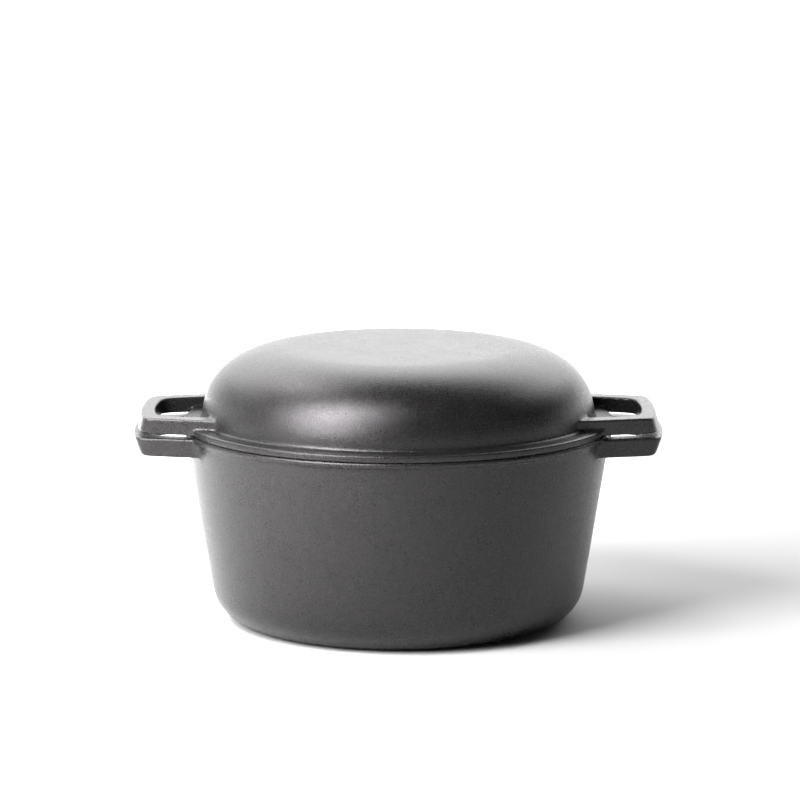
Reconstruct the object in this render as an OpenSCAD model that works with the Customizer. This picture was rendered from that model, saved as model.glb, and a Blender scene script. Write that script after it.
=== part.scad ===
// Double dutch oven: a deep cast iron pot and a domed lid that turns over into a grill pan.
// Each casting is split into its natural features, which meet face to face.
// Z points up, the origin is the centre of the pot's base, and the handles lie along X.
// The lid is drawn shut on the pot.

/* [Pot] */
// Height from the base to the top of the rim
pot_h = 122.4; // [100:0.2:150]
// Outer radius of the rim bead
rim_r = 134; // [133.5:0.1:136]
// Height of the rim bead
rim_h = 4.4; // [3.6:0.1:6]
// Outer radius of the wall, carried up to the rim's top face
wall_top_r = 132.4; // [131:0.1:133]
// Lean of the wall from upright, in degrees
wall_taper = 9.3; // [4:0.1:12]
// Thickness of the wall, measured level
wall_t = 3.9; // [3.5:0.1:4.5]
// Thickness of the floor
floor_t = 5; // [4:0.5:8]
// Radius of the round corner between wall and base
corner_r = 25.5; // [15:0.5:35]

/* [Lid] */
// Height of the lid above the rim's top face
dome_h = 48.9; // [42:0.1:60]
// Radius of the flat top, on which the lid stands as a pan
dome_flat_r = 66.7; // [60:0.1:75]
// Outer radius of the dome where it meets the flange
dome_foot_r = 122.1; // [120:0.1:123]
// Fullness of the dome: 2 is a quarter ellipse, more is squarer
dome_fullness = 2.2; // [2:0.05:2.6]
// Thickness of the dome at its foot
dome_t = 4.5; // [4:0.1:5]
// Thickness of the flat top
top_t = 5.9; // [5:0.1:7]
// Outer radius of the flange
flange_r = 133.7; // [131:0.1:136]
// Thickness of the flange
flange_t = 4.4; // [3.6:0.1:6]
// Outer radius of the locating lip, which drops into the pot's mouth
lip_r = 125.8; // [124.5:0.1:126.5]
// Depth of the locating lip below the flange
lip_h = 6; // [3:0.5:8]
// Thickness of the locating lip at its lower end
lip_t = 1.8; // [1.5:0.1:3]

/* [Grill ribs] */
// Number of ribs inside the lid
rib_count = 11; // [7:2:11]
// Distance from rib to rib
rib_pitch = 13; // [9:0.5:14]
// Width of a rib at its root
rib_w = 4; // [3:0.1:5]
// Width of a rib at its crest
rib_crest_w = 2; // [1:0.1:3]
// Height of a rib above the pan's floor
rib_h = 2.6; // [2.4:0.1:3.5]
// Radius of the circle on which the ribs end
rib_end_r = 85; // [75:0.5:86]

/* [Handles] */
// Reach of the pot's handles from the centre
pot_handle_reach = 164.7; // [160:0.1:175]
// Thickness of the pot's handles
pot_handle_t = 11.5; // [9:0.5:14]
// Drop from the rim's top face to the top of the pot's handles
pot_handle_drop = 1.2; // [0.5:0.1:3]
// Reach of the lid's handles from the centre
lid_handle_reach = 162; // [158:0.1:175]
// Thickness of the lid's handles
lid_handle_t = 9.8; // [8:0.2:12]
// Rise from the rim's top face to the underside of the lid's handles
lid_handle_rise = 1.3; // [0.5:0.1:3]
// Half width of a handle where it leaves the rim
handle_root_w = 47.5; // [44:0.5:50]
// Half width of a handle at its outer corners
handle_end_w = 40.5; // [38:0.5:44]
// Width of the grip bar along the handle's outer end
grip_w = 11; // [9:0.5:12]
// Width of the two side bars of a handle
side_bar_w = 12; // [9:0.5:13]
// Inward slope of a pot handle's outer end, from its top down to its underside
pot_end_draft = 4; // [1:0.5:5]
// Inward slope of a lid handle's outer end, from its underside up to its top
lid_end_draft = 2.5; // [1:0.5:5]

/* [Hidden] */

$fn = 96;
iron = [0.16, 0.155, 0.16];         // seasoned castings, nearly black
corner_steps = 6;                   // straight steps in each rounded corner
dome_steps = 16;                    // straight steps down the side of the dome
over = 1;                           // cutting shapes run this far past what they cut

slope = tan(wall_taper);            // how far the wall leans out for each step up
wall_foot_r = wall_top_r - pot_h * slope;
seat_z = pot_h;                     // plane on which the lid's flange sits
dome_top = seat_z + dome_h;
pan_floor = dome_top - top_t;       // the flat inside of the lid
flange_top = seat_z + flange_t;
lip_end = seat_z - lip_h;
rib_root_over = 0.4;                // the ribs are drawn this far into the floor, then cut back

handle_inner_x = 105;               // a handle is drawn from here out, inside the castings
handle_root_x = 128;                // where the root width of a handle is measured
end_slope = 7;                      // each half of the outer end falls back by this angle
bow_r = 250;                        // radius of the bow across the outer end
end_round = 6;                      // radius of the outer corners
hole_bow_r = 150;                   // the same two radii for the finger hole
hole_round = 8;
hole_corner_in = 2;                 // the side bars widen by this much towards the grip

// The arc that rounds corner b, between its neighbours a and c, with radius r
function corner_arc(a, b, c, r) =
    let (
        u = (a - b) / norm(a - b),
        v = (c - b) / norm(c - b),
        half = acos(u * v) / 2,
        centre = b + (u + v) / norm(u + v) * r / sin(half),
        from = b + u * r / tan(half) - centre,
        to = b + v * r / tan(half) - centre,
        side = sign(from[0] * to[1] - from[1] * to[0])
    )
    [for (i = [0:corner_steps])
        let (t = side * (180 - 2 * half) * i / corner_steps)
        centre + [from[0] * cos(t) - from[1] * sin(t), from[0] * sin(t) + from[1] * cos(t)]];

function spot(p) = [p[0], p[1]];

// A closed outline with rounded corners. Each corner is [x, y, radius].
function rounded(corners) =
    let (n = len(corners))
    [for (i = [0:n - 1])
        let (
            here = corners[i],
            before = spot(corners[(i + n - 1) % n]),
            after = spot(corners[(i + 1) % n])
        )
        for (q = here[2] == 0 ? [spot(here)] : corner_arc(before, spot(here), after, here[2]))
            q];

// Side of the dome, from an upright foot up to a flat top: a quarter of a superellipse
function shoulder(foot_r, foot, flat_r, top) =
    [for (i = [0:dome_steps])
        let (t = 90 * i / dome_steps)
        [flat_r + (foot_r - flat_r) * pow(cos(t), 2 / dome_fullness),
         foot + (top - foot) * pow(sin(t), 2 / dome_fullness)]];

// ---- Pot ----

// Outer shape of the bowl under the rim, filled
module bowl_filled() {
    top = pot_h - rim_h;
    rotate_extrude()
        polygon(rounded([
            [0, 0, 0],
            [wall_foot_r, 0, corner_r],
            [wall_foot_r + top * slope, top, 0],
            [0, top, 0]
        ]));
}

// Outer shape of the rim bead, filled
module rim_filled() {
    bead_round = rim_h * 0.45;
    rotate_extrude()
        polygon(rounded([
            [0, pot_h - rim_h, 0],
            [rim_r, pot_h - rim_h, bead_round],
            [rim_r, pot_h, bead_round],
            [0, pot_h, 0]
        ]));
}

// Hollow of the pot, open at the top
module pot_hollow() {
    inner_foot_r = wall_foot_r - wall_t;
    rotate_extrude()
        polygon(rounded([
            [0, floor_t, 0],
            [inner_foot_r + floor_t * slope, floor_t, corner_r - floor_t],
            [inner_foot_r + (pot_h + over) * slope, pot_h + over, 0],
            [0, pot_h + over, 0]
        ]));
}

module pot_body() {
    color(iron)
        difference() {
            bowl_filled();
            pot_hollow();
        }
}

module pot_rim() {
    color(iron)
        difference() {
            rim_filled();
            pot_hollow();
        }
}

// ---- Handles ----

// Outline of a loop handle that leaves a casting along +X
module handle_outline(reach) {
    crown_x = reach + bow_r * (1 / cos(end_slope) - 1);
    corner_x = crown_x - handle_end_w * tan(end_slope);
    flare = (handle_root_w - handle_end_w) / (corner_x - handle_root_x);
    inner_w = handle_root_w + flare * (handle_root_x - handle_inner_x);
    polygon(rounded([
        [handle_inner_x, -inner_w, 0],
        [corner_x, -handle_end_w, end_round],
        [crown_x, 0, bow_r],
        [corner_x, handle_end_w, end_round],
        [handle_inner_x, inner_w, 0]
    ]));
}

// Outline of the finger hole of the same handle
module finger_hole_outline(reach) {
    root_w = handle_root_w - side_bar_w;
    end_w = handle_end_w - side_bar_w + hole_corner_in;
    crown_x = reach - grip_w + hole_bow_r * (1 / cos(end_slope) - 1);
    corner_x = crown_x - end_w * tan(end_slope);
    flare = (root_w - end_w) / (corner_x - handle_root_x);
    inner_x = handle_inner_x - over;
    inner_w = root_w + flare * (handle_root_x - inner_x);
    polygon(rounded([
        [inner_x, -inner_w, 0],
        [corner_x, -end_w, hole_round],
        [crown_x, 0, hole_bow_r],
        [corner_x, end_w, hole_round],
        [inner_x, inner_w, 0]
    ]));
}

// A whole loop handle along +X, still running into the casting. The outer end slopes in by
// draft_low at its underside and by draft_high at its top.
module handle_blank(reach, low, thick, draft_low, draft_high) {
    translate([0, 0, low])
        difference() {
            intersection() {
                linear_extrude(thick)
                    handle_outline(reach);
                translate([reach - bow_r, 0, 0])
                    cylinder(h = thick, r1 = bow_r - draft_low, r2 = bow_r - draft_high);
            }
            translate([0, 0, -over])
                linear_extrude(thick + 2 * over)
                    finger_hole_outline(reach);
        }
}

module pot_handle() {
    low = pot_h - pot_handle_drop - pot_handle_t;
    color(iron)
        difference() {
            handle_blank(pot_handle_reach, low, pot_handle_t, pot_end_draft, 0);
            bowl_filled();
            rim_filled();
        }
}

module pot_handle_right() {
    pot_handle();
}

module pot_handle_left() {
    mirror([1, 0, 0])
        pot_handle();
}

module lid_handle() {
    low = seat_z + lid_handle_rise;
    color(iron)
        difference() {
            handle_blank(lid_handle_reach, low, lid_handle_t, 0, lid_end_draft);
            dome_filled();
            flange_filled();
        }
}

module lid_handle_right() {
    lid_handle();
}

module lid_handle_left() {
    mirror([1, 0, 0])
        lid_handle();
}

// ---- Lid ----

// Outer shape of the dome above the flange, filled
module dome_filled() {
    rotate_extrude()
        polygon(concat(
            [[0, flange_top]],
            shoulder(dome_foot_r, flange_top, dome_flat_r, dome_top),
            [[0, dome_top]]
        ));
}

// Outer shape of the flange, filled
module flange_filled() {
    edge_round = flange_t * 0.35;
    rotate_extrude()
        polygon(rounded([
            [0, seat_z, 0],
            [flange_r, seat_z, edge_round],
            [flange_r, flange_top, edge_round],
            [0, flange_top, 0]
        ]));
}

// Hollow of the lid: the bowl of the pan, flared at its mouth
module lid_hollow() {
    foot_r = dome_foot_r - dome_t;
    foot = flange_top + over;
    mouth_r = lip_r - lip_t;
    rotate_extrude()
        polygon(concat(
            [[0, lip_end - over], [mouth_r, lip_end - over], [mouth_r, lip_end]],
            shoulder(foot_r, foot, dome_flat_r, pan_floor),
            [[0, pan_floor]]
        ));
}

// The flat middle of the lid: its top outside and the pan's floor inside
module pan_floor_disc() {
    translate([0, 0, pan_floor])
        cylinder(h = top_t, r = dome_flat_r);
}

module lid_pan_floor() {
    color(iron)
        pan_floor_disc();
}

// Side of the lid, from the flat middle down to the flange
module lid_dome() {
    color(iron)
        difference() {
            dome_filled();
            lid_hollow();
            pan_floor_disc();
        }
}

module lid_rim() {
    color(iron)
        difference() {
            union() {
                flange_filled();
                translate([0, 0, lip_end])
                    cylinder(h = lip_h + flange_t / 2, r = lip_r);
            }
            lid_hollow();
        }
}

// One rib along Y, standing down from the pan's floor
module rib() {
    rotate([90, 0, 0])
        linear_extrude(2 * rib_end_r, center = true)
            polygon([
                [-rib_w / 2, pan_floor + rib_root_over],
                [-rib_w / 2, pan_floor],
                [-rib_crest_w / 2, pan_floor - rib_h],
                [rib_crest_w / 2, pan_floor - rib_h],
                [rib_w / 2, pan_floor],
                [rib_w / 2, pan_floor + rib_root_over]
            ]);
}

module lid_grill_ribs() {
    middle = (rib_count - 1) / 2;
    color(iron)
        intersection() {
            union()
                for (i = [0:rib_count - 1])
                    translate([(i - middle) * rib_pitch, 0, 0])
                        rib();
            translate([0, 0, pan_floor - rib_h - over])
                cylinder(h = rib_h + 2 * over, r = rib_end_r);
            lid_hollow();
        }
}

pot_body();
pot_rim();
pot_handle_left();
pot_handle_right();
lid_dome();
lid_pan_floor();
lid_rim();
lid_grill_ribs();
lid_handle_left();
lid_handle_right();
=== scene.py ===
"""Looks for a cast iron dutch oven: a deep pot and a domed lid that doubles as a grill pan.

Each casting is one seamless cage, a revolved section with two loop handles swept out of it, and
a subdivision surface makes it smooth. A corner of the cage whose neighbours stand h away comes
out rounded to a radius of about h / 1.76. All shapes are worked out in millimetres.
"""

import math

import bmesh
import bpy
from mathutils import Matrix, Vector


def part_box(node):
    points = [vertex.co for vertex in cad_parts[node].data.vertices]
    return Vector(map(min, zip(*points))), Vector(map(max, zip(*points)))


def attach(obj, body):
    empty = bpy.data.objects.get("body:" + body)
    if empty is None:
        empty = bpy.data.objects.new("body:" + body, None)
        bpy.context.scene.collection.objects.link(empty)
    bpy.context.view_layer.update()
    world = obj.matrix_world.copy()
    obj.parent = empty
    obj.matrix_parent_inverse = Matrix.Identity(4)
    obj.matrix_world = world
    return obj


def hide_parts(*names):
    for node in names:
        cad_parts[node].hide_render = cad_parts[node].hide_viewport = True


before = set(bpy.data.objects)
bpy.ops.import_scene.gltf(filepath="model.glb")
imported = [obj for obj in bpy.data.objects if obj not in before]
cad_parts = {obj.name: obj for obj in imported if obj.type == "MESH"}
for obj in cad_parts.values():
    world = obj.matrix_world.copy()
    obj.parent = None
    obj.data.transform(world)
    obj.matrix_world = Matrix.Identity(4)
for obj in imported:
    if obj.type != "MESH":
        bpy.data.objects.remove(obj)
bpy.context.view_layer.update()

MM = 0.001

# Sizes that the part's boxes don't show, in millimetres and degrees
WALL_TAPER = 9.3
WALL_T = 3.9
FLOOR_T = 5.0
POT_CORNER_R = 25.5
DOME_FLAT_R = 66.7
DOME_FULLNESS = 2.2
DOME_T = 4.5
DOME_TOP_T = 5.9
LIP_R = 125.8
LIP_T = 1.8
RIB_COUNT = 11
RIB_PITCH = 13.0
RIB_END_R = 85.0
HANDLE_ROOT_X = 128.0
HANDLE_ROOT_W = 47.5
HANDLE_END_W = 40.5
GRIP_W = 11.0
SIDE_BAR_W = 12.0
END_SLOPE = 7.0
BOW_R = 250.0
HOLE_BOW_R = 150.0
HOLE_CORNER_IN = 2.0

FILLET = 3.0          # from a handle's root to the next line of the cage
SOFT = 2.3            # from a handle's long edges to the next line of the cage


def node_box(name):
    """Lowest and highest corner of a CAD node, in millimetres."""
    low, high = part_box(name)
    return low / MM, high / MM


# ---- Sections of the castings ----


def through(points):
    """Moves each inner point out a little, so that the smoothed line passes through it."""
    out = [points[0]]
    for a, b, c in zip(points, points[1:], points[2:]):
        out.append(tuple(b[i] - (a[i] - 2 * b[i] + c[i]) / 6 for i in (0, 1)))
    return out + [points[-1]]


def arc(centre, radius, start, end, steps):
    """Points of an arc in a section; angles in degrees from outwards, anticlockwise."""
    angles = [math.radians(start + (end - start) * i / steps) for i in range(steps + 1)]
    return [(centre[0] + radius * math.cos(a), centre[1] + radius * math.sin(a)) for a in angles]


def shoulder(foot_r, foot, top, steps):
    """A quarter superellipse from the flat top of the lid down to its upright foot."""
    power = 2 / DOME_FULLNESS
    out = []
    for i in range(steps + 1):
        t = math.radians(90 * (1 - i / steps))
        out.append(
            (
                DOME_FLAT_R + (foot_r - DOME_FLAT_R) * math.cos(t) ** power,
                foot + (top - foot) * math.sin(t) ** power,
            )
        )
    return out


def shoulder_height(r, foot_r, foot, top):
    """Height of the same curve at radius r."""
    if r <= DOME_FLAT_R:
        return top
    part = (r - DOME_FLAT_R) / (foot_r - DOME_FLAT_R)
    return foot + (top - foot) * max(0.0, 1 - part**DOME_FULLNESS) ** (1 / DOME_FULLNESS)


def shoulder_radius(z, foot_r, foot, top):
    """Radius of the same curve at height z."""
    part = (z - foot) / (top - foot)
    return DOME_FLAT_R + (foot_r - DOME_FLAT_R) * (1 - part**DOME_FULLNESS) ** (
        1 / DOME_FULLNESS
    )


rim_low, rim_high = node_box("pot_rim")
grip_low, grip_high = node_box("pot_handle_right")
RIM_TOP, RIM_FOOT, RIM_R = rim_high.z, rim_low.z, rim_high.x
SLOPE = math.tan(math.radians(WALL_TAPER))
WALL_FOOT_R = node_box("pot_body")[1].x - RIM_FOOT * SLOPE


def pot_section():
    """The pot's section from the middle of its base, up and over the rim, to the middle of its
    floor, and the rows between which the handles leave it."""
    low, high = grip_low.z, grip_high.z
    tangent = math.tan(math.radians((90 - WALL_TAPER) / 2))
    flat_r = WALL_FOOT_R - POT_CORNER_R * tangent

    def wall(z):
        return (WALL_FOOT_R + z * SLOPE, z)

    outer = [(18, 0), (50, 0), (76, 0)]
    outer += through(arc((flat_r, POT_CORNER_R), POT_CORNER_R, -90, -WALL_TAPER, 7))
    outer += [wall(z) for z in (31, 44, 58, 72, 86, 97)]
    outer += [wall(low - FILLET)]
    first = len(outer)
    outer += [wall(z) for z in (low, low + SOFT, low + 4.8, RIM_FOOT - 1.0)]
    outer += [
        (RIM_R - 2.0, RIM_FOOT + 0.2),
        (RIM_R - 0.75, RIM_FOOT + 0.9),
        (RIM_R - 0.05, RIM_FOOT + 2.0),
        (RIM_R, high),
    ]
    last = len(outer) - 1
    inner_r = WALL_FOOT_R - WALL_T + RIM_TOP * SLOPE
    rim = [
        (RIM_R - 0.75, RIM_TOP - 0.15),
        (RIM_R - 2.0, RIM_TOP),
        (RIM_R - 3.3, RIM_TOP),
        (inner_r + 1.3, RIM_TOP),
        (inner_r + 0.25, RIM_TOP - 0.1),
        (inner_r - 0.15, RIM_TOP - 1.2),
    ]
    inner = [
        (wall(z)[0] - WALL_T, z) for z in (RIM_TOP - 3.5, 114, 106, 96, 85, 73, 61, 49, 37)
    ]
    corner_r = POT_CORNER_R - FLOOR_T
    inner_flat_r = WALL_FOOT_R - WALL_T + FLOOR_T * SLOPE - corner_r * tangent
    cove = through(arc((inner_flat_r, FLOOR_T + corner_r), corner_r, -WALL_TAPER, -90, 7))
    floor = [(76, FLOOR_T), (50, FLOOR_T), (18, FLOOR_T)]
    return outer + rim + inner + cove + floor, first, last


lid_rim_low, lid_rim_high = node_box("lid_rim")
lid_grip_low, lid_grip_high = node_box("lid_handle_right")
dome_high = node_box("lid_dome")[1]
RIB_CREST = node_box("lid_grill_ribs")[0].z
LID_TOP, DOME_R = dome_high.z, dome_high.x
FLANGE_R, FLANGE_TOP, LIP_END = lid_rim_high.x, lid_rim_high.z, lid_rim_low.z
SEAT = RIM_TOP
PAN_FLOOR = LID_TOP - DOME_TOP_T
PAN_FOOT_R, PAN_FOOT = DOME_R - DOME_T, FLANGE_TOP + 1


def lid_section():
    """The lid's section from the middle of its top, down and round the lip, to the middle of
    the pan's floor, and the rows between which the handles leave it."""
    low, high = lid_grip_low.z, lid_grip_high.z

    def side(z):
        return (shoulder_radius(z, DOME_R, FLANGE_TOP, LID_TOP), z)

    dome = [p for p in through(shoulder(DOME_R, FLANGE_TOP, LID_TOP, 18)) if p[1] > high + 7]
    outer = [(16, LID_TOP), (36, LID_TOP), (54, LID_TOP)] + dome + [side(high + 3.6)]
    last = len(outer)
    outer += [side(z) for z in (high, high - 2, high - 4.2)]
    outer += [
        (DOME_R + 0.25, FLANGE_TOP + 1.1),
        (DOME_R + 1.2, FLANGE_TOP + 0.1),
        (DOME_R + 3.1, FLANGE_TOP),
        (DOME_R + 6.2, FLANGE_TOP),
        (FLANGE_R - 2.4, FLANGE_TOP),
        (FLANGE_R - 0.6, FLANGE_TOP - 0.05),
        (FLANGE_R - 0.03, FLANGE_TOP - 0.8),
        (FLANGE_R, FLANGE_TOP - 2.1),
        (FLANGE_R, low),
    ]
    first = len(outer) - 1
    under = [
        (FLANGE_R - 0.1, SEAT + 0.35),
        (FLANGE_R - 0.9, SEAT),
        (FLANGE_R - 2.4, SEAT),
        (LIP_R + 3.2, SEAT),
        (LIP_R + 1.4, SEAT),
        (LIP_R + 0.25, SEAT - 0.3),
        (LIP_R, SEAT - 1.5),
        (LIP_R, LIP_END + 2.4),
        (LIP_R - 0.02, LIP_END + 0.75),
        (LIP_R - 0.35, LIP_END + 0.05),
        (LIP_R - 0.95, LIP_END),
        (LIP_R - 1.5, LIP_END + 0.1),
        (LIP_R - LIP_T - 0.35, LIP_END + 0.9),
    ]
    mouth_r = LIP_R - LIP_T
    cone = [
        (mouth_r + (PAN_FOOT_R - mouth_r) * f, LIP_END + (PAN_FOOT - LIP_END) * f)
        for f in (0.22, 0.48, 0.74, 0.97)
    ]
    pan = through(shoulder(PAN_FOOT_R, PAN_FOOT, PAN_FLOOR, 16))[::-1][1:]
    floor = [(52, PAN_FLOOR), (34, PAN_FLOOR), (16, PAN_FLOOR)]
    return outer + under + cone + pan + floor, first, last


# ---- Handles ----

SECTION_COLS = 4      # cage squares across a handle's bar


class Plan:
    """Outline of a loop handle and of its finger hole, in plan, for the half with Y above 0."""

    def __init__(self, reach):
        rise = 1 / math.cos(math.radians(END_SLOPE)) - 1
        self.fall = math.tan(math.radians(END_SLOPE))
        self.reach = reach
        crown = reach + BOW_R * rise
        self.outer_corner = (crown - HANDLE_END_W * self.fall, HANDLE_END_W)
        hole_w = HANDLE_END_W - SIDE_BAR_W + HOLE_CORNER_IN
        hole_crown = reach - GRIP_W + HOLE_BOW_R * rise
        self.hole_corner = (hole_crown - hole_w * self.fall, hole_w)
        root_hole_w = HANDLE_ROOT_W - SIDE_BAR_W
        self.outer_line = self.line(HANDLE_ROOT_W, self.outer_corner)
        self.hole_line = self.line(root_hole_w, self.hole_corner)

    @staticmethod
    def line(root_w, corner):
        """Half width at the root and flare for each step inwards of it."""
        return root_w, (root_w - corner[1]) / (corner[0] - HANDLE_ROOT_X)

    def column(self, c):
        """The line in plan that cage column c follows where the handle meets the casting."""
        (w0, f0), (w1, f1) = self.hole_line, self.outer_line
        w = [w0, w0 + SOFT, (w0 + w1) / 2, w1 - SOFT, w1][c]
        return w, f0 + (f1 - f0) * (w - w0) / (w1 - w0)

    def azimuth(self, c, r):
        """Where column c crosses the circle of radius r, in degrees from X."""
        w, f = self.column(c)
        k = w + f * HANDLE_ROOT_X
        x = (k * f + math.sqrt(k * k * f * f - (1 + f * f) * (k * k - r * r))) / (1 + f * f)
        return math.degrees(math.atan2(k - f * x, x))

    def back(self, corner, flare, distance):
        """A point on a side, this far back from its corner towards the casting."""
        size = math.hypot(1, flare)
        return corner[0] - distance / size, corner[1] + distance * flare / size

    def bow(self, y, crown, radius):
        """X of the bowed end at half width y."""
        return crown - radius + math.sqrt(radius * radius - y * y)

    def stations(self):
        """Pairs of points on the hole and on the outline, with the ways from them into the
        bar, and how far the end's slope applies."""
        hole_side = self.hole_line[1]
        outer_side = self.outer_line[1]
        hole, outer = self.hole_corner, self.outer_corner
        end = self.reach
        hole_end = end - GRIP_W
        return [
            (self.back(hole, hole_side, 17), self.back(outer, outer_side, 22), (0, 1), (0, -1), 0),
            (self.back(hole, hole_side, 12), self.back(outer, outer_side, 9.5), (0, 1), (0, -1), 0),
            (hole, outer, (1, 1), (-1, -1), 1),
            (
                (self.bow(18.5, hole_end, HOLE_BOW_R), 18.5),
                (self.bow(31, end, BOW_R), 31),
                (1, 0),
                (-1, 0),
                1,
            ),
            (
                (self.bow(9, hole_end, HOLE_BOW_R), 9),
                (self.bow(16, end, BOW_R), 16),
                (1, 0),
                (-1, 0),
                1,
            ),
            ((hole_end, 0), (end, 0), (1, 0), (-1, 0), 1),
        ]


def levels(low, high, near_low, near_high, count):
    """count + 1 heights, of which the first two and the last two stand close together."""
    a, b = low + near_low, high - near_high
    return [low, *(a + (b - a) * i / (count - 2) for i in range(count - 1)), high]


def perimeter(rows):
    """Row and column of each cage point round a handle's bar."""
    cols = SECTION_COLS
    return (
        [(0, c) for c in range(cols + 1)]
        + [(k, cols) for k in range(1, rows + 1)]
        + [(rows, c) for c in range(cols - 1, -1, -1)]
        + [(k, 0) for k in range(rows - 1, 0, -1)]
    )


# ---- Castings ----

COLS_IN = 6           # cage squares from the X axis to a handle's root
COLS_OUT = 24         # and from there to the Y axis
QUARTER = COLS_IN + SECTION_COLS + COLS_OUT


def quarter_azimuths(plan, r):
    """Azimuths of the cage's columns over a quarter turn, at radius r."""
    r = min(max(r, 118.0), 136.0)
    root = [plan.azimuth(c, r) for c in range(SECTION_COLS + 1)]
    before = [root[0] * i / COLS_IN for i in range(COLS_IN)]
    after = [root[-1] + (90 - root[-1]) * i / COLS_OUT for i in range(1, COLS_OUT + 1)]
    return before + root + after


def round_azimuths(plan, r):
    q = quarter_azimuths(plan, r)
    half = q + [180 - a for a in q[-2::-1]]
    return half + [360 - a for a in half[-2:0:-1]]


def root_column(side, half, c):
    """Index of root column c on side 0 (+X) or 1 (-X), half 0 (+Y) or 1 (-Y)."""
    j = COLS_IN + c
    return [[j, 4 * QUARTER - j], [2 * QUARTER - j, 2 * QUARTER + j]][side][half]


def casting(name, section, first, last, plan, low, high, draft, offsets):
    """Builds one casting. Rows first to last of the section, from the underside of the handles
    to their top, are where the handles leave it. draft is how far the handles' outer end goes
    in at its underside and at its top, and offsets are the steps from the root to the first
    ring of a bar."""
    bm = bmesh.new()
    cols = 4 * QUARTER
    rows = []
    for r, z in section:
        ring = []
        for a in round_azimuths(plan, r):
            t = math.radians(a)
            ring.append(bm.verts.new((r * math.cos(t) * MM, r * math.sin(t) * MM, z * MM)))
        rows.append(ring)
    step = 1 if last > first else -1
    count = abs(last - first)
    top_row, bottom_row = min(first, last), max(first, last)
    open_cells = {
        min(root_column(s, h, c), root_column(s, h, c + 1))
        for s in (0, 1)
        for h in (0, 1)
        for c in range(SECTION_COLS)
    }
    for i in range(len(rows) - 1):
        for j in range(cols):
            if top_row <= i < bottom_row and j in open_cells:
                continue
            k = (j + 1) % cols
            bm.faces.new((rows[i][j], rows[i][k], rows[i + 1][k], rows[i + 1][j]))
    for ring, z in ((rows[0], section[0][1]), (rows[-1], section[-1][1])):
        middle = bm.verts.new((0, 0, z * MM))
        for j in range(cols):
            bm.faces.new((middle, ring[j], ring[(j + 1) % cols]))

    spots = perimeter(count)
    for side in (0, 1):
        sign = 1 if side == 0 else -1
        rings = []
        roots = []
        for half in (0, 1):
            flip = 1 if half == 0 else -1
            root = [rows[first + step * k][root_column(side, half, c)] for k, c in spots]
            near = []
            for k, c in spots:
                r, z = section[first + step * k]
                dr, dz = offsets[k]
                t = math.radians(plan.azimuth(c, r + dr))
                near.append(
                    (sign * (r + dr) * math.cos(t), flip * (r + dr) * math.sin(t), z + dz)
                )
            roots.append((root, near))
        rings.append(roots[0][1])
        stations = plan.stations()
        mirrored = [
            ((h[0], -h[1]), (o[0], -o[1]), (a[0], -a[1]), (b[0], -b[1]), w)
            for h, o, a, b, w in stations[-2::-1]
        ]
        for hole, outer, way_in, way_out, sloped in stations + mirrored:
            soft_out = SOFT + 1.0 * sloped
            z_hole = levels(low, high, SOFT, SOFT, count)
            z_outer = levels(low, high, soft_out, SOFT, count)
            ring = []
            for k, c in spots:
                z = z_hole[k] if c == 0 else z_outer[k]
                part = (z - low) / (high - low)
                shift = sloped * (draft[0] * (1 - part) + draft[1] * part)
                away = 1 if outer[1] >= 0 else -1
                flare = plan.outer_line[1] if abs(way_out[0]) and abs(way_out[1]) else 0
                ox, oy = outer[0] - shift, outer[1] + away * shift * flare
                hx, hy = hole
                x, y = [
                    (hx, hy),
                    (hx + SOFT * way_in[0], hy + SOFT * way_in[1]),
                    ((hx + ox) / 2, (hy + oy) / 2),
                    (ox + soft_out * way_out[0], oy + soft_out * way_out[1]),
                    (ox, oy),
                ][c]
                ring.append((sign * x, y, z))
            rings.append(ring)
        rings.append(roots[1][1])
        made = [roots[0][0]]
        made += [[bm.verts.new((x * MM, y * MM, z * MM)) for x, y, z in ring] for ring in rings]
        made.append(roots[1][0])
        for one, two in zip(made, made[1:]):
            for i in range(len(spots)):
                j = (i + 1) % len(spots)
                bm.faces.new((one[i], one[j], two[j], two[i]))
    return finish_mesh(name, bm)


def finish_mesh(name, bm):
    """Turns a cage into a smooth object."""
    bmesh.ops.recalc_face_normals(bm, faces=bm.faces)
    mesh = bpy.data.meshes.new(name)
    bm.to_mesh(mesh)
    bm.free()
    mesh.polygons.foreach_set("use_smooth", [True] * len(mesh.polygons))
    piece = bpy.data.objects.new(name, mesh)
    bpy.context.scene.collection.objects.link(piece)
    smooth = piece.modifiers.new("smooth", "SUBSURF")
    smooth.levels = smooth.render_levels = 2
    smooth.boundary_smooth = "PRESERVE_CORNERS"
    return piece


def make_pot():
    section, first, last = pot_section()
    low, high = grip_low.z, grip_high.z
    plan = Plan(grip_high.x)
    ring_r = RIM_R + FILLET - 1.5
    heights = levels(low, high, SOFT, SOFT, last - first)
    offsets = [(ring_r - r, z - z0) for (r, z0), z in zip(section[first : last + 1], heights)]
    return casting("pot_casting", section, first, last, plan, low, high, (4.0, 0.0), offsets)


def make_lid():
    section, first, last = lid_section()
    low, high = lid_grip_low.z, lid_grip_high.z
    # from the flange's side, over its top, to the dome's wall
    offsets = [
        (3.6, 0),
        (3.6, 0.6),
        (3.4, 1.2),
        (3.0, 2.2),
        (2.2, 2.8),
        (1.6, 3.0),
        (1.4, 3.0),
        (2.2, 2.9),
        (2.9, 2.5),
        (3.4, 1.2),
        (3.6, 0.3),
        (3.6, 0),
    ]
    plan = Plan(lid_grip_high.x)
    return casting("lid_casting", section, first, last, plan, low, high, (0.0, 2.5), offsets)


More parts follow.
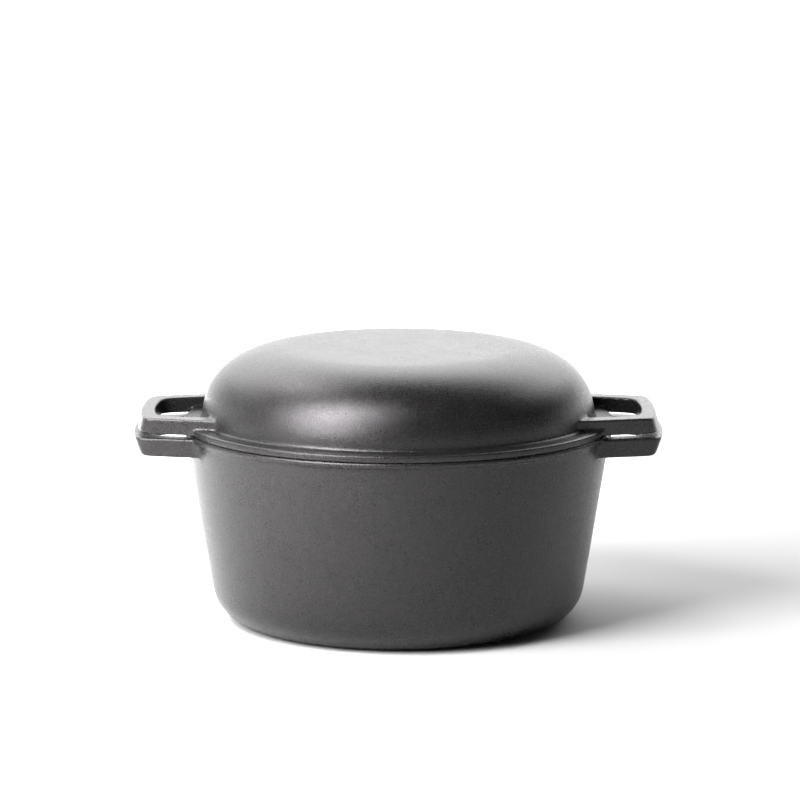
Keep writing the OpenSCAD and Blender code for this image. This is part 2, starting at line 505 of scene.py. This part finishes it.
# Half a rib across, as its offset in millimetres and its share of the rib's height; where the
# cage is cut along half a rib, as shares of it; and how the first cuts rise at a rib's end.
RIB_PROFILE = [(-3.3, -0.02), (-2.35, 0.05), (-1.7, 0.42), (-1.3, 0.86), (-0.7, 1.0), (0, 1.0)]
RIB_STATIONS = [1.0, 0.99, 0.972, 0.95, 0.9, 0.8, 0.64, 0.43, 0.2]
RIB_RISE = [0.0, 0.6, 0.95, 1.0]


def make_ribs():
    """The grill ribs: each has flared feet, a rounded crest and ends that fade into the cove."""
    bm = bmesh.new()
    height = PAN_FLOOR - RIB_CREST
    across = RIB_PROFILE + [(-x, f) for x, f in RIB_PROFILE[-2::-1]]
    along = [-s for s in RIB_STATIONS] + [0] + RIB_STATIONS[::-1]
    for i in range(RIB_COUNT):
        middle = (i - (RIB_COUNT - 1) / 2) * RIB_PITCH
        end = math.sqrt(RIB_END_R**2 - middle**2)
        rings = []
        for n, s in enumerate(along):
            edge = min(n, len(along) - 1 - n)
            rise = RIB_RISE[edge] if edge < len(RIB_RISE) else 1.0
            ring = []
            for x, f in across:
                px, py = middle + x * (0.55 + 0.45 * rise), s * end
                floor = shoulder_height(math.hypot(px, py), PAN_FOOT_R, PAN_FOOT, PAN_FLOOR)
                tall = min(height, max(floor - RIB_CREST, 0.0))
                ring.append(bm.verts.new((px * MM, py * MM, (floor - tall * f * rise) * MM)))
            rings.append(ring)
        for one, two in zip(rings, rings[1:]):
            for a in range(len(across) - 1):
                bm.faces.new((one[a], one[a + 1], two[a + 1], two[a]))
    return finish_mesh("grill_ribs", bm)


# ---- Material ----

GRAIN_SCALE = 1450            # grains of about 0.7 mm
PIT_SCALE = 1250
BLOTCH_SCALE = 55
BROAD_SCALE = 9
GRAIN_DEPTH = 0.00016         # in metres
DARK_IRON = (0.0065, 0.0062, 0.0064)
PALE_IRON = (0.0115, 0.011, 0.0113)
BARE_IRON = (0.04, 0.038, 0.037, 1)
IRON_TINT = (1, 0.955, 0.99, 1)


def cast_iron(name):
    """Seasoned sand-cast iron: fine grain, blotches in tone and gloss, edges rubbed brighter."""
    material = bpy.data.materials.new(name)
    material.use_nodes = True
    nodes, links = material.node_tree.nodes, material.node_tree.links
    shader = nodes["Principled BSDF"]
    place = nodes.new("ShaderNodeTexCoord")

    def noise(scale, detail, roughness):
        n = nodes.new("ShaderNodeTexNoise")
        n.inputs["Scale"].default_value = scale
        n.inputs["Detail"].default_value = detail
        n.inputs["Roughness"].default_value = roughness
        links.new(place.outputs["Object"], n.inputs["Vector"])
        return n

    def ramp(source, stops):
        n = nodes.new("ShaderNodeValToRGB")
        while len(n.color_ramp.elements) < len(stops):
            n.color_ramp.elements.new(0.5)
        for element, (position, value) in zip(n.color_ramp.elements, stops):
            element.position = position
            element.color = (*value, 1) if isinstance(value, tuple) else (value,) * 3 + (1,)
        links.new(source, n.inputs["Fac"])
        return n

    def maths(operation, *values):
        n = nodes.new("ShaderNodeMath")
        n.operation = operation
        for socket, value in zip(n.inputs, values):
            if isinstance(value, (int, float)):
                socket.default_value = value
            else:
                links.new(value, socket)
        return n.outputs[0]

    grain = noise(GRAIN_SCALE, 2, 0.6)
    pits = nodes.new("ShaderNodeTexVoronoi")
    pits.inputs["Scale"].default_value = PIT_SCALE
    links.new(place.outputs["Object"], pits.inputs["Vector"])
    blotch = noise(BLOTCH_SCALE, 4, 0.6)
    broad = noise(BROAD_SCALE, 3, 0.5)

    wide = maths("MULTIPLY", broad.outputs["Fac"], 0.4)
    tone = maths("MULTIPLY_ADD", blotch.outputs["Fac"], 0.6, wide)
    colour = ramp(tone, [(0.3, DARK_IRON), (0.7, PALE_IRON)])
    speck = ramp(grain.outputs["Fac"], [(0.3, 0.78), (0.72, 1.22)])
    fleck = nodes.new("ShaderNodeMix")
    fleck.data_type = "RGBA"
    fleck.blend_type = "MULTIPLY"
    fleck.inputs["Factor"].default_value = 1.0
    links.new(colour.outputs["Color"], fleck.inputs["A"])
    links.new(speck.outputs["Color"], fleck.inputs["B"])

    shape = nodes.new("ShaderNodeNewGeometry")
    edge = ramp(shape.outputs["Pointiness"], [(0.515, 0.0), (0.56, 1.0)])
    patchy = ramp(blotch.outputs["Fac"], [(0.38, 0.15), (0.62, 1.0)])
    worn = maths("MULTIPLY", edge.outputs["Color"], patchy.outputs["Color"])
    bare = nodes.new("ShaderNodeMix")
    bare.data_type = "RGBA"
    links.new(maths("MULTIPLY", worn, 0.3), bare.inputs["Factor"])
    links.new(fleck.outputs["Result"], bare.inputs["A"])
    bare.inputs["B"].default_value = BARE_IRON
    links.new(bare.outputs["Result"], shader.inputs["Base Color"])

    gloss = ramp(tone, [(0.3, 0.15), (0.7, 0.21)])
    dull = maths("MULTIPLY_ADD", grain.outputs["Fac"], 0.2, gloss.outputs["Color"])
    links.new(maths("SUBTRACT", dull, maths("MULTIPLY", worn, 0.05)), shader.inputs["Roughness"])

    height = maths("ADD", grain.outputs["Fac"], maths("MULTIPLY", pits.outputs["Distance"], 0.5))
    bump = nodes.new("ShaderNodeBump")
    bump.inputs["Strength"].default_value = 1.0
    bump.inputs["Distance"].default_value = GRAIN_DEPTH
    links.new(height, bump.inputs["Height"])
    links.new(bump.outputs["Normal"], shader.inputs["Normal"])
    sheen = ramp(grain.outputs["Fac"], [(0.3, 0.32), (0.7, 0.54)])
    shader.inputs["Specular IOR Level"].default_value = 0.43
    links.new(sheen.outputs["Color"], shader.inputs["Specular IOR Level"])
    shader.inputs["Specular Tint"].default_value = IRON_TINT
    return material


# ---- The object ----

pot = make_pot()
lid = make_lid()
ribs = make_ribs()

pot_iron = cast_iron("pot_iron")
lid_iron = cast_iron("lid_iron")
for piece, material in ((pot, pot_iron), (lid, lid_iron), (ribs, lid_iron)):
    piece.data.materials.append(material)

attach(pot, "pot")
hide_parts("pot_body", "pot_rim", "pot_handle_left", "pot_handle_right")
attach(lid, "lid")
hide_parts("lid_dome", "lid_pan_floor", "lid_rim", "lid_handle_left", "lid_handle_right")
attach(ribs, "lid")
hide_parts("lid_grill_ribs")

# ---- Floor, light and camera ----

ROOM = 0.02                   # radiance of the dim room
WALL_BEHIND = 2.0
WALL_LEFT = 0.3
HORIZON = 1.0                 # of a thin band all round, just above the floor
FLOOR_GREY = 0.5
GLOW_START, GLOW_END, GLOW_LEVEL = 0.5, 1.5, 0.9    # the floor's glow, from and to, in metres
CAMERA_PLACE = (0.001, -2.827, 0.629)
CAMERA_TILT = 9.86            # degrees down from level
CAMERA_LENS = 207.8

# Name, place, target, width, height, power, spread in degrees
LIGHTS = [
    ("key", (-1.1, -1.02, 1.12), (0, 0, 0.1), 1.0, 1.3, 100, 180),
    ("front_floor", (-0.62, -0.6, 1.0), (-0.45, -0.36, 0), 0.5, 0.5, 6, 45),
    ("side_panel", (-1.6, 0.2, 0.7), (0, 0, 0.15), 1.4, 1.1, 4, 180),
    ("back_floor", (-0.75, 0.9, 1.2), (-0.65, 0.85, 0), 1.2, 1.0, 38, 70),
    ("far_floor", (0, 4.0, 2.4), (0, 4.0, 0), 7, 5.4, 400, 180),
]


def map_range(nodes, links, socket, start, end, level):
    """A smooth change from 0 at start to level at end."""
    n = nodes.new("ShaderNodeMapRange")
    n.interpolation_type = "SMOOTHSTEP"
    n.inputs["From Min"].default_value = start
    n.inputs["From Max"].default_value = end
    n.inputs["To Max"].default_value = level
    links.new(socket, n.inputs["Value"])
    return n.outputs["Result"]


def make_floor():
    """A pale floor that glows a little further out, so that it looks pale from all sides."""
    size = 30
    mesh = bpy.data.meshes.new("floor")
    corners = [(-size, -size, 0), (size, -size, 0), (size, size, 0), (-size, size, 0)]
    mesh.from_pydata(corners, [], [(0, 1, 2, 3)])
    floor = bpy.data.objects.new("floor", mesh)
    bpy.context.scene.collection.objects.link(floor)
    material = bpy.data.materials.new("floor")
    material.use_nodes = True
    shader = material.node_tree.nodes["Principled BSDF"]
    shader.inputs["Base Color"].default_value = (FLOOR_GREY,) * 3 + (1,)
    shader.inputs["Roughness"].default_value = 0.9
    shader.inputs["Specular IOR Level"].default_value = 0.1
    shader.inputs["Emission Color"].default_value = (1, 1, 1, 1)
    nodes, links = material.node_tree.nodes, material.node_tree.links
    place = nodes.new("ShaderNodeTexCoord")
    away = nodes.new("ShaderNodeVectorMath")
    away.operation = "LENGTH"
    links.new(place.outputs["Object"], away.inputs[0])
    glow = map_range(nodes, links, away.outputs["Value"], GLOW_START, GLOW_END, GLOW_LEVEL)
    links.new(glow, shader.inputs["Emission Strength"])
    mesh.materials.append(material)


def area_light(name, place, target, width, height, power, spread):
    data = bpy.data.lights.new(name, "AREA")
    data.shape = "RECTANGLE"
    data.size, data.size_y = width, height
    data.energy = power
    data.spread = math.radians(spread)
    lamp = bpy.data.objects.new(name, data)
    lamp.location = place
    way = Vector(target) - Vector(place)
    lamp.rotation_euler = way.to_track_quat("-Z", "Y").to_euler()
    lamp.visible_camera = False
    bpy.context.scene.collection.objects.link(lamp)


def make_world():
    """A dim room with a bright wall behind the object, a paler one on its left, and a bright
    horizon."""
    world = bpy.data.worlds.new("studio")
    world.use_nodes = True
    nodes, links = world.node_tree.nodes, world.node_tree.links
    background = nodes["Background"]
    background.inputs["Color"].default_value = (1, 1, 1, 1)
    place = nodes.new("ShaderNodeTexCoord")
    axes = nodes.new("ShaderNodeSeparateXYZ")
    links.new(place.outputs["Generated"], axes.inputs["Vector"])

    def glow(axis, start, end, level):
        return map_range(nodes, links, axes.outputs[axis], start, end, level)

    def maths(operation, a, b):
        n = nodes.new("ShaderNodeMath")
        n.operation = operation
        links.new(a, n.inputs[0])
        links.new(b, n.inputs[1])
        return n.outputs[0]

    behind = maths("MULTIPLY", glow("Y", 0.35, 1.0, WALL_BEHIND), glow("Z", 0.5, 0.15, 1.0))
    walls = maths("ADD", behind, glow("X", -0.3, -1.0, WALL_LEFT))
    lit = maths("ADD", walls, glow("Z", 0.12, 0.05, HORIZON))
    total = nodes.new("ShaderNodeMath")
    total.operation = "ADD"
    total.inputs[1].default_value = ROOM
    links.new(lit, total.inputs[0])
    links.new(total.outputs[0], background.inputs["Strength"])
    bpy.context.scene.world = world


def make_camera():
    data = bpy.data.cameras.new("camera")
    data.sensor_width = 36.0
    data.lens = CAMERA_LENS
    data.clip_end = 100
    camera = bpy.data.objects.new("camera", data)
    camera.location = CAMERA_PLACE
    camera.rotation_euler = (math.radians(90 - CAMERA_TILT), 0, 0)
    bpy.context.scene.collection.objects.link(camera)
    bpy.context.scene.camera = camera


make_floor()
make_world()
for light in LIGHTS:
    area_light(*light)
make_camera()
bpy.context.scene.view_settings.view_transform = "Standard"
